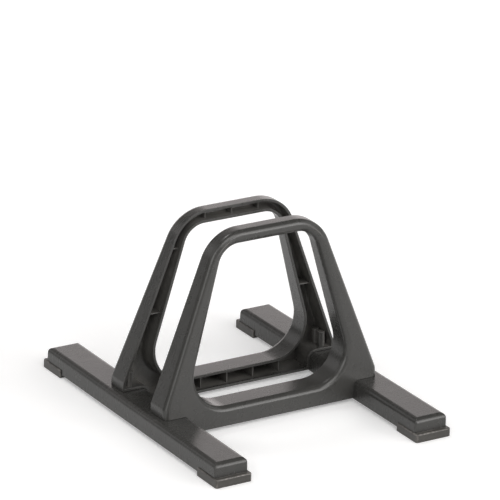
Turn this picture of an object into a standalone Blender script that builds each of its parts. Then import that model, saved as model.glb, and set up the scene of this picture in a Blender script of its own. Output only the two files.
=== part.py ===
"""Floor stand for one bicycle wheel: two leaning hoops on two base rails with four feet.

X runs across the two rails, the way the wheel rolls. Y runs along the rails. Z is up.
The origin is on the floor under the middle of the stand. All sizes are in metres.
"""

import math

import bmesh
import bpy
from mathutils import Matrix, Vector

# Clearance between pieces that touch
GAP = 0.0003

# Base rails
RAIL_LENGTH = 0.3525
RAIL_WIDTH = 0.0398
RAIL_SPACING = 0.2423
RAIL_HEIGHT = 0.0206
RAIL_DRAFT = 0.0004
RAIL_END_DRAFT = 0.0004
RAIL_CORNER = 0.0022
RAIL_TOP_ROUND = 0.0059
RAIL_WALL = 0.0030
RAIL_RIB = 0.0020
RAIL_RIB_PITCH = 0.029

# Feet, shoes that wrap the rail ends
FOOT_LENGTH = 0.0383
FOOT_HEIGHT = 0.0094
FOOT_SOLE = 0.0034
FOOT_SIDE = 0.0015
FOOT_END = 0.0057
FOOT_CORNER = 0.0027
FOOT_LIP_ROUND = 0.0014
PLUG_HEIGHT = 0.0085
PLUG_LENGTH = 0.0240
PLUG_WALL = 0.0022
FOOT_PAD_DIAMETER = 0.0140
FOOT_PAD_HEIGHT = 0.0044

# Side frames
FRAME_HEIGHT = 0.2130
GAP_AT_BASE = 0.0572
GAP_AT_TOP = 0.0546
DEPTH_AT_BASE = 0.0294
DEPTH_AT_TOP = 0.0168
STUB_HALF_WIDTH = 0.1306
STUB_HEIGHT = 0.0095
LEG_TOP_HALF_WIDTH = 0.0622
TOP_CORNER = 0.0435
BEAM_CLEARANCE = 0.0052
BEAM_HEIGHT = 0.0204
TOP_BAR_HEIGHT = 0.0146
LEG_FOOT_WIDTH = 0.0278
LEG_TOP_WIDTH = 0.0122
WINDOW_TOP_CORNER = 0.0240
WINDOW_SILL_CORNER = 0.0385
OUTER_ROUND = 0.0058
SILL_ROUND = 0.0060
BAR_FLAT = 0.0010
FRAME_WALL = 0.0030
FRAME_RIB = 0.0018
RIB_RECESS = 0.0055
BAR_RIB_PITCH = 0.0325
LEG_RIB_PITCH = 0.0685
LEG_RIB_BELOW_TOP = 0.0400

# Screws that hold the frames down
SCREW_DIAMETER = 0.0042
SCREW_HEAD_DIAMETER = 0.0080
SCREW_HEAD_HEIGHT = 0.0026
SCREW_REACH = 0.0165
SCREW_TIP = 0.0028
SCREW_PITCH = 0.0108
SCREW_FROM_RIM = 0.0080
WASHER_DIAMETER = 0.0092
WASHER_THICKNESS = 0.0008
BOSS_WALL = 0.0019
BOSS_HEIGHT = 0.0195
WEB = 0.0020

# Screws that hold the feet on
FOOT_SCREW_DIAMETER = 0.0038
FOOT_SCREW_HEAD_DIAMETER = 0.0076
FOOT_SCREW_REACH = 0.0090
FOOT_SCREW_TIP = 0.0024

# Fineness of round shapes
CORNER_STEPS = 9
ROUND_STEPS = 4
SCREW_SIDES = 16

# Sizes that follow from the ones above
RAIL_X = RAIL_SPACING / 2
RAIL_BOTTOM = FOOT_SOLE + GAP
RAIL_TOP = RAIL_BOTTOM + RAIL_HEIGHT
RAIL_CEILING = RAIL_TOP - RAIL_WALL
SEAT_Z = RAIL_TOP + GAP
STUB_TOP = SEAT_Z + STUB_HEIGHT
SILL_Z = BEAM_CLEARANCE + BEAM_HEIGHT
WINDOW_TOP_Z = FRAME_HEIGHT - TOP_BAR_HEIGHT
TOP_ROUND = TOP_BAR_HEIGHT - OUTER_ROUND - BAR_FLAT
SCREW_HOLE_RADIUS = SCREW_DIAMETER / 2 + GAP
BOSS_RADIUS = SCREW_HOLE_RADIUS + BOSS_WALL
BOSS_TOP = SEAT_Z + BOSS_HEIGHT
FOOT_HOLE_RADIUS = FOOT_SCREW_DIAMETER / 2 + GAP
FOOT_BOSS_RADIUS = FOOT_HOLE_RADIUS + BOSS_WALL
FOOT_PAD_TOP = FOOT_SOLE + FOOT_PAD_HEIGHT
FOOT_INNER_END = RAIL_LENGTH / 2 + FOOT_END - FOOT_LENGTH
FOOT_SCREW_Y = FOOT_INNER_END + FOOT_LENGTH / 2

CHARCOAL = (0.036, 0.035, 0.035, 1.0)
BLACK_RUBBER = (0.026, 0.026, 0.027, 1.0)
ZINC = (0.58, 0.58, 0.56, 1.0)


def clear_scene():
    for item in list(bpy.data.objects):
        bpy.data.objects.remove(item, do_unlink=True)


def make_material(name, colour, roughness, metallic):
    material = bpy.data.materials.new(name)
    material.use_nodes = True
    shader = material.node_tree.nodes["Principled BSDF"]
    shader.inputs["Base Color"].default_value = colour
    shader.inputs["Roughness"].default_value = roughness
    shader.inputs["Metallic"].default_value = metallic
    return material


def add_object(name, mesh, material=None):
    piece = bpy.data.objects.new(name, mesh)
    bpy.context.scene.collection.objects.link(piece)
    if material is not None:
        piece.active_material = material
    return piece


def finish_mesh(bm, name):
    """Turns the faces outwards and shades the round stretches smooth."""
    bmesh.ops.recalc_face_normals(bm, faces=bm.faces)
    mesh = bpy.data.meshes.new(name)
    bm.to_mesh(mesh)
    bm.free()
    mesh.shade_smooth()
    mesh.set_sharp_from_angle(angle=math.radians(32))
    return mesh


def cutter(name, mesh):
    guide = add_object(name, mesh)
    guide.hide_render = True
    guide.display_type = "WIRE"
    return guide


def combine(name, base, steps):
    """Joins or cuts the base mesh by each (operation, mesh) in turn and returns one mesh."""
    body = add_object(name, base)
    guides = []
    for number, (operation, mesh) in enumerate(steps):
        guide = cutter(f"{name}_guide_{number}", mesh)
        boolean = body.modifiers.new(operation.lower(), "BOOLEAN")
        boolean.operation = operation
        boolean.solver = "EXACT"
        boolean.object = guide
        guides.append(guide)
    bpy.context.view_layer.update()
    depsgraph = bpy.context.evaluated_depsgraph_get()
    result = bpy.data.meshes.new_from_object(body.evaluated_get(depsgraph))
    result.name = name
    for item in guides + [body]:
        bpy.data.objects.remove(item, do_unlink=True)
    result.shade_smooth()
    result.set_sharp_from_angle(angle=math.radians(32))
    return result


# Loops and lofts


def add_loop(bm, points):
    verts = [bm.verts.new(point) for point in points]
    edges = [bm.edges.new((a, b)) for a, b in zip(verts, verts[1:] + verts[:1])]
    return verts, edges


def skin(bm, first, second):
    """Joins two loops that have the same number of points."""
    ends = zip(first, first[1:] + first[:1], second[1:] + second[:1], second)
    for corners in ends:
        bm.faces.new(corners)


def loft(sections, name):
    """A closed solid through loops of equally many points, capped at both ends."""
    bm = bmesh.new()
    loops = [add_loop(bm, section)[0] for section in sections]
    for first, second in zip(loops, loops[1:]):
        skin(bm, first, second)
    bm.faces.new(loops[0])
    bm.faces.new(loops[-1])
    return finish_mesh(bm, name)


def arc(centre, radius, start, end, steps):
    """Points on an arc, both ends counted, with angles in degrees."""
    points = []
    for step in range(steps + 1):
        angle = math.radians(start + (end - start) * step / steps)
        points.append((centre[0] + radius * math.cos(angle), centre[1] + radius * math.sin(angle)))
    return points


def rounded_rectangle(half_x, low_y, high_y, low_corner, high_corner, z):
    """A counter-clockwise loop at height z whose two ends have corners of their own."""
    steps = ROUND_STEPS
    flat = arc((half_x - low_corner, low_y + low_corner), low_corner, -90, 0, steps)
    flat += arc((half_x - high_corner, high_y - high_corner), high_corner, 0, 90, steps)
    flat += arc((high_corner - half_x, high_y - high_corner), high_corner, 90, 180, steps)
    flat += arc((low_corner - half_x, low_y + low_corner), low_corner, 180, 270, steps)
    return [(x, y, z) for x, y in flat]


def round_profile(profile, sides, name):
    """A solid turned from (radius, z) points that start and end on the Z axis."""
    bm = bmesh.new()
    verts = [bm.verts.new((radius, 0, z)) for radius, z in profile]
    edges = [bm.edges.new(pair) for pair in zip(verts, verts[1:])]
    bmesh.ops.spin(
        bm,
        geom=verts + edges,
        cent=(0, 0, 0),
        axis=(0, 0, 1),
        angle=2 * math.pi,
        steps=sides,
        use_merge=True,
    )
    bmesh.ops.remove_doubles(bm, verts=bm.verts, dist=1e-6)
    return finish_mesh(bm, name)


def cylinders(places, radius, low, high, name):
    """Upright cylinders at each (x, y), in one mesh."""
    bm = bmesh.new()
    for x, y in places:
        bmesh.ops.create_cone(
            bm,
            cap_ends=True,
            segments=SCREW_SIDES,
            radius1=radius,
            radius2=radius,
            depth=high - low,
            matrix=Matrix.Translation((x, y, (low + high) / 2)),
        )
    return finish_mesh(bm, name)


def add_prism(bm, outline, direction):
    """Extrudes a flat outline of 3D points along the direction, half to each side."""
    shift = Vector(direction)
    low = [bm.verts.new(Vector(point) - shift / 2) for point in outline]
    face = bm.faces.new(low)
    grown = bmesh.ops.extrude_face_region(bm, geom=[face])
    moved = [item for item in grown["geom"] if isinstance(item, bmesh.types.BMVert)]
    bmesh.ops.translate(bm, verts=moved, vec=shift)


# Side frame


def rim_y(z):
    """The plane of the frame's open side, next to the wheel. It leans a little."""
    share = (z - RAIL_TOP) / (FRAME_HEIGHT - RAIL_TOP)
    return -(GAP_AT_BASE + (GAP_AT_TOP - GAP_AT_BASE) * share) / 2


def face_y(z):
    """The plane of the frame's outer face, which leans towards the wheel."""
    share = (z - RAIL_TOP) / (FRAME_HEIGHT - RAIL_TOP)
    return rim_y(z) - (DEPTH_AT_BASE + (DEPTH_AT_TOP - DEPTH_AT_BASE) * share)


def leg_outer_x(z):
    share = (z - STUB_TOP) / (FRAME_HEIGHT - STUB_TOP)
    return STUB_HALF_WIDTH + (LEG_TOP_HALF_WIDTH - STUB_HALF_WIDTH) * share


def leg_inner_x(z):
    """The window's side, extended straight through its round corners."""
    share = (z - STUB_TOP) / (FRAME_HEIGHT - STUB_TOP)
    width = LEG_FOOT_WIDTH + (LEG_TOP_WIDTH - LEG_FOOT_WIDTH) * share
    return leg_outer_x(z) - width


def window_round(z):
    """Radius of the window's front edge: small at the sill, most of the bar at the top."""
    share = (z - SILL_Z) / (WINDOW_TOP_Z - SILL_Z)
    return SILL_ROUND + (TOP_ROUND - SILL_ROUND) * share


def corner_arc(side_x, level_z, radius, above):
    """A round corner between a leg's straight side and a level line above or below it."""
    lean = math.atan2(side_x(0.0) - side_x(0.1), 0.1)
    half_turn = (math.pi / 2 - lean) / 2 if above else (math.pi / 2 + lean) / 2
    centre_x = side_x(level_z) - radius * math.tan(half_turn)
    centre_z = level_z - radius if above else level_z + radius
    tilt = math.degrees(lean)
    if above:
        return arc((centre_x, centre_z), radius, tilt, 90, CORNER_STEPS)
    return arc((centre_x, centre_z), radius, -90, tilt, CORNER_STEPS)


def with_mirror(right):
    return right + [(-x, z) for x, z in reversed(right)]


def rail_side_x(z):
    """Distance from the rail's middle to its drafted side."""
    return RAIL_WIDTH / 2 - RAIL_DRAFT * (z - RAIL_BOTTOM) / RAIL_HEIGHT


def frame_outline():
    """Outer edge of the frame, counter-clockwise from the beam's right end."""
    shoulder = (RAIL_X - rail_side_x(RAIL_TOP) + RAIL_TOP_ROUND, RAIL_TOP - RAIL_TOP_ROUND)
    right = [(RAIL_X - rail_side_x(BEAM_CLEARANCE) - GAP, BEAM_CLEARANCE)]
    right += arc(shoulder, RAIL_TOP_ROUND + GAP, 180, 90, ROUND_STEPS)
    right += [(STUB_HALF_WIDTH, SEAT_Z), (STUB_HALF_WIDTH, STUB_TOP)]
    right += corner_arc(leg_outer_x, FRAME_HEIGHT, TOP_CORNER, above=True)
    return with_mirror(right)


def window_outline():
    """Edge of the window, clockwise, so that the material is on the same side as before."""
    right = corner_arc(leg_inner_x, SILL_Z, WINDOW_SILL_CORNER, above=False)
    right += corner_arc(leg_inner_x, WINDOW_TOP_Z, WINDOW_TOP_CORNER, above=True)
    return list(reversed(with_mirror(right)))


def moved_in(outline, distance):
    """Moves an outline into the material. distance(start, end, z) is asked for each edge."""
    moved = []
    for index, point in enumerate(outline):
        before = outline[index - 1]
        after = outline[(index + 1) % len(outline)]
        first = Vector((before[1] - point[1], point[0] - before[0])).normalized()
        second = Vector((point[1] - after[1], after[0] - point[0])).normalized()
        first_gap = distance(before, point, point[1])
        second_gap = distance(point, after, point[1])
        turn = first.x * second.y - first.y * second.x
        if abs(turn) < 0.2:
            middle = first + second
            shift = middle * ((first_gap + second_gap) / 2 / middle.dot(first))
        else:
            shift = Vector((
                (first_gap * second.y - second_gap * first.y) / turn,
                (first.x * second_gap - second.x * first_gap) / turn,
            ))
        moved.append((point[0] + shift.x, point[1] + shift.y))
    return moved


def is_seat(start, end):
    """True on the edges that face the rails and the floor, which have no round edge."""
    return max(start[1], end[1]) < SEAT_Z + GAP / 2


def outer_loop(outline, inset, seat_inset, depth):
    """The outer edge moved in, at a depth behind the face. depth None is the open rim."""
    flat = moved_in(outline, lambda a, b, z: seat_inset if is_seat(a, b) else inset)
    return [(x, rim_y(z) if depth is None else face_y(z) + depth, z) for x, z in flat]


def window_loop(outline, inset, depth):
    """The window's edge moved out; inset and depth take the round edge's local radius."""
    flat = moved_in(outline, lambda a, b, z: inset(window_round(z)))
    loop = []
    for (x, z), (_, height) in zip(flat, outline):
        deep = depth(window_round(height))
        loop.append((x, rim_y(z) if deep is None else face_y(z) + deep, z))
    return loop


def frame_shell():
    """A leaning channel swept round the window: front skin, two side walls, open rim."""
    outer = frame_outline()
    window = window_outline()
    turns = [math.radians(90 * step / ROUND_STEPS) for step in range(ROUND_STEPS + 1)]
    bm = bmesh.new()

    rows = [outer_loop(outer, 0, 0, None)]
    for turn in turns:
        inset = OUTER_ROUND * (1 - math.cos(turn))
        rows.append(outer_loop(outer, inset, 0, OUTER_ROUND * (1 - math.sin(turn))))
    outside = [add_loop(bm, row) for row in rows]

    rows = [window_loop(window, lambda r: 0, lambda r: None)]
    for turn in turns:
        rows.append(window_loop(
            window,
            lambda r, turn=turn: r * (1 - math.cos(turn)),
            lambda r, turn=turn: r * (1 - math.sin(turn)),
        ))
    inside = [add_loop(bm, row) for row in rows]

    rows = [
        outer_loop(outer, FRAME_WALL, FRAME_WALL, None),
        outer_loop(outer, FRAME_WALL, FRAME_WALL, OUTER_ROUND),
        outer_loop(outer, OUTER_ROUND, FRAME_WALL, FRAME_WALL),
    ]
    pocket_outside = [add_loop(bm, row) for row in rows]
    rows = [
        window_loop(window, lambda r: FRAME_WALL, lambda r: None),
        window_loop(window, lambda r: FRAME_WALL, lambda r: r),
        window_loop(window, lambda r: r, lambda r: FRAME_WALL),
    ]
    pocket_inside = [add_loop(bm, row) for row in rows]

    for wall in (outside, inside, pocket_outside, pocket_inside):
        for (first, _), (second, _) in zip(wall, wall[1:]):
            skin(bm, first, second)
    skin(bm, outside[0][0], pocket_outside[0][0])
    skin(bm, inside[0][0], pocket_inside[0][0])
    for wide, narrow in ((outside[-1], inside[-1]), (pocket_outside[-1], pocket_inside[-1])):
        bmesh.ops.triangle_fill(bm, use_beauty=True, edges=wide[1] + narrow[1])
    return finish_mesh(bm, "frame_shell")


def leg_rib(bm, z, side):
    """A level rib across one leg, let into both walls and the front skin."""
    bite = FRAME_WALL / 2
    outer = leg_outer_x(z)
    inner = leg_inner_x(z)
    window = window_round(z)
    section = [
        (outer - bite, rim_y(z) - RIB_RECESS),
        (outer - bite, face_y(z) + OUTER_ROUND),
        (outer - OUTER_ROUND, face_y(z) + bite),
        (inner + window, face_y(z) + bite),
        (inner + bite, face_y(z) + window),
        (inner + bite, rim_y(z) - RIB_RECESS),
    ]
    add_prism(bm, [(side * x, y, z) for x, y in section], (0, 0, FRAME_RIB))


def bar_rib(bm, x):
    """An upright rib across the top bar."""
    bite = FRAME_WALL / 2
    top = FRAME_HEIGHT
    low = WINDOW_TOP_Z
    section = [
        (rim_y(top) - RIB_RECESS, top - bite),
        (face_y(top) + OUTER_ROUND, top - bite),
        (face_y(top) + bite, top - OUTER_ROUND),
        (face_y(low) + bite, low + TOP_ROUND),
        (face_y(low) + TOP_ROUND, low + bite),
        (rim_y(low) - RIB_RECESS, low + bite),
    ]
    add_prism(bm, [(x, y, z) for y, z in section], (FRAME_RIB, 0, 0))


def beam_rib(bm, x):
    """An upright rib across the beam under the window."""
    bite = FRAME_WALL / 2
    low = BEAM_CLEARANCE + bite
    section = [
        (rim_y(SILL_Z) - RIB_RECESS, SILL_Z - bite),
        (face_y(SILL_Z) + SILL_ROUND, SILL_Z - bite),
        (face_y(SILL_Z) + bite, SILL_Z - SILL_ROUND),
        (face_y(low) + bite, low),
        (rim_y(low) - RIB_RECESS, low),
    ]
    add_prism(bm, [(x, y, z) for y, z in section], (FRAME_RIB, 0, 0))


def screw_places():
    """The two screws of a seat, for the front frame's right leg."""
    seat_start = RAIL_X - rail_side_x(RAIL_TOP) + RAIL_TOP_ROUND
    x = (seat_start + STUB_HALF_WIDTH) / 2
    first = rim_y(RAIL_TOP) - SCREW_FROM_RIM
    return [(x, first), (x, first - SCREW_PITCH)]


def boss_web(bm, side):
    """A web that ties the two bosses of a leg to each other and to the front skin."""
    (x, first), (_, second) = screw_places()
    low = SEAT_Z + FRAME_WALL / 2
    bite = FRAME_WALL / 2
    section = [
        (first, low),
        (face_y(low) + bite, low),
        (face_y(BOSS_TOP) + bite, BOSS_TOP - WEB),
        (second, BOSS_TOP - WEB),
        (first, BOSS_TOP - WEB),
    ]
    add_prism(bm, [(side * x, y, z) for y, z in section], (WEB, 0, 0))


def side_frame_mesh():
    ribs = bmesh.new()
    webs = bmesh.new()
    for side in (-1, 1):
        top_rib = FRAME_HEIGHT - LEG_RIB_BELOW_TOP
        leg_rib(ribs, top_rib, side)
        leg_rib(ribs, top_rib - LEG_RIB_PITCH, side)
        boss_web(webs, side)
    for step in (-1, 0, 1):
        bar_rib(ribs, step * BAR_RIB_PITCH)
    for step in (-2, -1, 0, 1, 2):
        beam_rib(ribs, step * BAR_RIB_PITCH)
    places = [(side * x, y) for side in (-1, 1) for x, y in screw_places()]
    bosses = cylinders(places, BOSS_RADIUS, SEAT_Z + FRAME_WALL / 2, BOSS_TOP, "bosses")
    holes = cylinders(places, SCREW_HOLE_RADIUS, SEAT_Z - WEB, BOSS_TOP - WEB, "holes")
    return combine("side_frame", frame_shell(), [
        ("UNION", finish_mesh(webs, "webs")),
        ("UNION", bosses),
        ("DIFFERENCE", holes),
        ("UNION", finish_mesh(ribs, "ribs")),
    ])


# Base rail


def rail_loop(z, grow, inward=0.0):
    """Outline of the drafted rail at height z, grown or moved in on all sides."""
    share = (z - RAIL_BOTTOM) / RAIL_HEIGHT
    half_x = RAIL_WIDTH / 2 - RAIL_DRAFT * share + grow - inward
    half_y = RAIL_LENGTH / 2 - RAIL_END_DRAFT * share + grow - inward
    corner = max(RAIL_CORNER + grow - inward, RAIL_WALL / 4)
    return rounded_rectangle(half_x, -half_y, half_y, corner, corner, z)


def rail_form(grow, name):
    """The rail's outside, grown all round: its own body, the room for it, or its hollow."""
    radius = RAIL_TOP_ROUND + grow
    sections = [rail_loop(RAIL_BOTTOM - abs(grow), grow)]
    for step in range(ROUND_STEPS + 1):
        turn = math.radians(90 * step / ROUND_STEPS)
        drop = radius * (1 - math.sin(turn))
        inward = radius * (1 - math.cos(turn))
        sections.append(rail_loop(RAIL_TOP + grow - drop, grow, inward))
    return loft(sections, name)


def rail_cross_ribs():
    """Cross ribs under the rail, which leave the screws and the feet free."""
    bm = bmesh.new()
    (_, first), (_, second) = screw_places()
    keep_clear = (-first - WASHER_DIAMETER, -second + WASHER_DIAMETER)
    count = int((FOOT_INNER_END - RAIL_WALL) / RAIL_RIB_PITCH)
    for step in range(-count, count + 1):
        y = step * RAIL_RIB_PITCH
        if keep_clear[0] < abs(y) < keep_clear[1]:
            continue
        side = rail_side_x(RAIL_TOP) - RAIL_WALL / 2
        flat = rail_side_x(RAIL_TOP) - RAIL_TOP_ROUND
        right = [
            (side, RAIL_BOTTOM + RAIL_RIB),
            (side, RAIL_TOP - RAIL_TOP_ROUND),
            (flat, RAIL_TOP - RAIL_WALL / 2),
        ]
        add_prism(bm, [(x, y, z) for x, z in with_mirror(right)], (0, RAIL_RIB, 0))
    return finish_mesh(bm, "rail_ribs")


def base_rail_mesh():
    """The right rail about its own middle. Its screw holes lie nearer the wheel."""
    feet = [(0, -FOOT_SCREW_Y), (0, FOOT_SCREW_Y)]
    boss_low = FOOT_PAD_TOP + GAP
    boss_high = RAIL_CEILING + RAIL_WALL / 2
    seats = [(x - RAIL_X, side * y) for side in (-1, 1) for x, y in screw_places()]
    foot_hole_top = boss_low + FOOT_SCREW_REACH + RAIL_RIB
    return combine("base_rail", rail_form(0.0, "rail_body"), [
        ("DIFFERENCE", rail_form(-RAIL_WALL, "rail_hollow")),
        ("UNION", rail_cross_ribs()),
        ("UNION", cylinders(feet, FOOT_BOSS_RADIUS, boss_low, boss_high, "foot_bosses")),
        ("DIFFERENCE", cylinders(feet, FOOT_HOLE_RADIUS, boss_low - RAIL_RIB, foot_hole_top, "foot_holes")),
        ("DIFFERENCE", cylinders(seats, SCREW_HOLE_RADIUS, RAIL_CEILING - RAIL_WALL, SEAT_Z, "seat_holes")),
    ])


# Foot


def foot_block():
    """The shoe's outside, with a round lip, at the rail's far end."""
    half_x = RAIL_WIDTH / 2 + FOOT_SIDE
    low_y = FOOT_INNER_END
    high_y = RAIL_LENGTH / 2 + FOOT_END
    inner_corner = FOOT_SIDE / 2
    sections = [rounded_rectangle(half_x, low_y, high_y, inner_corner, FOOT_CORNER, 0.0)]
    for step in range(ROUND_STEPS + 1):
        turn = math.radians(90 * step / ROUND_STEPS)
        z = FOOT_HEIGHT - FOOT_LIP_ROUND * (1 - math.sin(turn))
        inward = FOOT_LIP_ROUND * (1 - math.cos(turn))
        corner = max(inner_corner - inward, inner_corner / 4)
        sections.append(rounded_rectangle(
            half_x - inward, low_y + inward, high_y - inward, corner, FOOT_CORNER - inward, z
        ))
    return loft(sections, "foot_block")


def foot_plug(shrink):
    """The upstand that plugs into the rail's open underside, or its hollow when shrunk."""
    sections = []
    low = FOOT_SOLE - FOOT_SOLE / 4 + shrink / 2
    high = FOOT_SOLE + PLUG_HEIGHT + shrink
    far_y = RAIL_LENGTH / 2 - RAIL_END_DRAFT - RAIL_WALL - GAP - shrink
    for z in (low, high):
        half_x = rail_side_x(FOOT_SOLE + PLUG_HEIGHT) - RAIL_WALL - GAP - shrink
        near_y = far_y - PLUG_LENGTH + 2 * shrink
        corner = RAIL_CORNER - RAIL_WALL / 2
        sections.append(rounded_rectangle(half_x, near_y, far_y, corner, corner, z))
    return loft(sections, "foot_plug")


def foot_mesh():
    place = [(0, FOOT_SCREW_Y)]
    head_room = FOOT_SCREW_HEAD_DIAMETER / 2 + 2 * GAP
    seat = FOOT_PAD_TOP - FOOT_SOLE
    return combine("foot", foot_block(), [
        ("DIFFERENCE", rail_form(GAP, "rail_room")),
        ("UNION", foot_plug(0.0)),
        ("DIFFERENCE", foot_plug(PLUG_WALL)),
        ("UNION", cylinders(place, FOOT_PAD_DIAMETER / 2, FOOT_SOLE / 2, FOOT_PAD_TOP, "foot_pad")),
        ("DIFFERENCE", cylinders(place, head_room, -seat, seat, "head_room")),
        ("DIFFERENCE", cylinders(place, FOOT_HOLE_RADIUS, 0.0, FOOT_PAD_TOP + seat, "foot_hole")),
    ])


# Fasteners


def screw_mesh(diameter, head_diameter, length, tip, name):
    """A pan-head screw that points up, with the underside of its head at z = 0."""
    shank = diameter / 2
    head = head_diameter / 2
    profile = [
        (0, -SCREW_HEAD_HEIGHT),
        (head * 0.55, -SCREW_HEAD_HEIGHT),
        (head * 0.88, -SCREW_HEAD_HEIGHT * 0.75),
        (head, -SCREW_HEAD_HEIGHT * 0.35),
        (head, 0),
        (shank, 0),
        (shank, length - tip),
        (shank * 0.25, length),
        (0, length),
    ]
    return round_profile(profile, SCREW_SIDES, name)


def washer_mesh():
    bm = bmesh.new()
    rings = []
    for radius in (SCREW_HOLE_RADIUS, WASHER_DIAMETER / 2):
        for z in (0.0, WASHER_THICKNESS):
            flat = arc((0, 0), radius, 0, 360, SCREW_SIDES)[:-1]
            rings.append(add_loop(bm, [(x, y, z) for x, y in flat])[0])
    for first, second in ((0, 1), (1, 3), (3, 2), (2, 0)):
        skin(bm, rings[first], rings[second])
    return finish_mesh(bm, "washer")


def build_frames(material):
    mesh = side_frame_mesh()
    add_object("front_side_frame", mesh, material)
    back = add_object("back_side_frame", mesh, material)
    back.rotation_euler.z = math.pi


def build_rails(material):
    mesh = base_rail_mesh()
    right = add_object("right_base_rail", mesh, material)
    right.location.x = RAIL_X
    left = add_object("left_base_rail", mesh, material)
    left.location.x = -RAIL_X
    left.rotation_euler.z = math.pi


def build_feet(foot_material, steel):
    foot = foot_mesh()
    length = FOOT_SOLE + 2 * GAP + FOOT_SCREW_REACH
    screw = screw_mesh(
        FOOT_SCREW_DIAMETER, FOOT_SCREW_HEAD_DIAMETER, length, FOOT_SCREW_TIP, "foot_screw"
    )
    for side, side_name in ((-1, "left"), (1, "right")):
        for end, end_name in ((-1, "front"), (1, "back")):
            name = f"{side_name}_{end_name}_foot"
            piece = add_object(name, foot, foot_material)
            piece.location.x = side * RAIL_X
            piece.rotation_euler.z = 0.0 if end > 0 else math.pi
            fastener = add_object(f"{name}_screw", screw, steel)
            fastener.location = (side * RAIL_X, end * FOOT_SCREW_Y, FOOT_PAD_HEIGHT - GAP)


def build_seat_fasteners(steel):
    washer = washer_mesh()
    washer_top = RAIL_CEILING - GAP
    head_seat = washer_top - WASHER_THICKNESS - GAP
    length = SEAT_Z + SCREW_REACH - head_seat
    screw = screw_mesh(SCREW_DIAMETER, SCREW_HEAD_DIAMETER, length, SCREW_TIP, "seat_screw")
    for end, end_name in ((-1, "front"), (1, "back")):
        for side, side_name in ((-1, "left"), (1, "right")):
            for number, (x, y) in enumerate(screw_places(), start=1):
                spot = (side * x, -end * y)
                label = f"{end_name}_{side_name}_frame"
                fastener = add_object(f"{label}_screw_{number}", screw, steel)
                fastener.location = (*spot, head_seat)
                ring = add_object(f"{label}_washer_{number}", washer, steel)
                ring.location = (*spot, washer_top - WASHER_THICKNESS)


def main():
    clear_scene()
    plastic = make_material("charcoal_plastic", CHARCOAL, 0.42, 0.0)
    rubber = make_material("black_rubber", BLACK_RUBBER, 0.55, 0.0)
    steel = make_material("zinc_steel", ZINC, 0.35, 1.0)
    build_frames(plastic)
    build_rails(plastic)
    build_feet(rubber, steel)
    build_seat_fasteners(steel)


main()
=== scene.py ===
import math

import bmesh
import bpy
import numpy as np
from mathutils import Matrix, Vector
from mathutils.bvhtree import BVHTree


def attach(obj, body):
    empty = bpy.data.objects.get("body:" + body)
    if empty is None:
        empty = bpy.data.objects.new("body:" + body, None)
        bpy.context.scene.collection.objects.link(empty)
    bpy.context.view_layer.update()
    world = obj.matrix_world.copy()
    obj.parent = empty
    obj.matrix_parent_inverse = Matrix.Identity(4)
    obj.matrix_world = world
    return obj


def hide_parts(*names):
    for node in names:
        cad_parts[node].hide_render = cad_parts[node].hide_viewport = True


# Looks of a low floor stand: two moulded hoops that face each other, two rails, four shoes
# and the steel screws that hold them together. Metres, Z up, X across the rails, Y along them.

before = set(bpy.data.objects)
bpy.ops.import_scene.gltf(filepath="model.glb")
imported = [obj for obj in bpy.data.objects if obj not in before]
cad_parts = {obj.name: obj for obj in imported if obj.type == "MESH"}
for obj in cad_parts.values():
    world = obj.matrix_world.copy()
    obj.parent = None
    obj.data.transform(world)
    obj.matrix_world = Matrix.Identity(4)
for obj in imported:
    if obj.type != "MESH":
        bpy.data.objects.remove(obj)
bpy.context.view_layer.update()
print("stage 1: frame loaded,", len(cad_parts), "nodes")


# mesh tools that every piece uses

def between(start, end, share):
    return start + (end - start) * share


def quarterTurn(steps):
    # an edge round of radius 1: how much is still to go one way, and how much is done the other way
    turns = [math.radians(90 * step / steps) for step in range(steps + 1)]
    return [(1 - math.sin(turn), 1 - math.cos(turn)) for turn in turns]


def circleTurns(sides):
    return [2 * math.pi * k / sides for k in range(sides)]


def arcPoints(centre, radius, start, end, steps):
    points = []
    for step in range(steps + 1):
        angle = math.radians(start + (end - start) * step / steps)
        points.append((centre[0] + radius * math.cos(angle), centre[1] + radius * math.sin(angle)))
    return points


def addLoop(bm, points):
    return [bm.verts.new(point) for point in points]


def bridge(bm, first, second):
    for a, b, c, d in zip(first, first[1:] + first[:1], second[1:] + second[:1], second):
        bm.faces.new((a, b, c, d))


def fan(bm, ring, point):
    for a, b in zip(ring, ring[1:] + ring[:1]):
        bm.faces.new((a, b, point))


def loftLoops(bm, sections, closed=True):
    loops = [addLoop(bm, section) for section in sections]
    for first, second in zip(loops, loops[1:]):
        bridge(bm, first, second)
    if closed:
        bm.faces.new(loops[0])
        bm.faces.new(loops[-1])
    return loops


def lathe(bm, profile, sides, centre=(0, 0)):
    # profile is (radius, height) from the bottom of the axis to its top
    rings = []
    for radius, height in profile:
        turns = circleTurns(sides) if radius > 0 else [0.0]
        rings.append(addLoop(bm, [
            (centre[0] + radius * math.cos(turn), centre[1] + radius * math.sin(turn), height)
            for turn in turns
        ]))
    for low, high in zip(rings, rings[1:]):
        if len(low) == 1:
            fan(bm, high, low[0])
        elif len(high) == 1:
            fan(bm, low, high[0])
        else:
            bridge(bm, low, high)
    return rings


def asMesh(bm, name):
    bmesh.ops.recalc_face_normals(bm, faces=bm.faces)
    mesh = bpy.data.meshes.new(name)
    bm.to_mesh(mesh)
    bm.free()
    return mesh


def newObject(name, data):
    made = bpy.data.objects.new(name, data)
    bpy.context.scene.collection.objects.link(made)
    return made


def movedCopy(mesh, spot=(0, 0, 0), turn=0.0):
    # a copy turned about the upright axis, then moved to its spot
    moved = mesh.copy()
    moved.transform(Matrix.Translation(spot) @ Matrix.Rotation(turn, 4, "Z"))
    return moved


mergeDistance = 2e-6  # points this close after a join are one point


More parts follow.
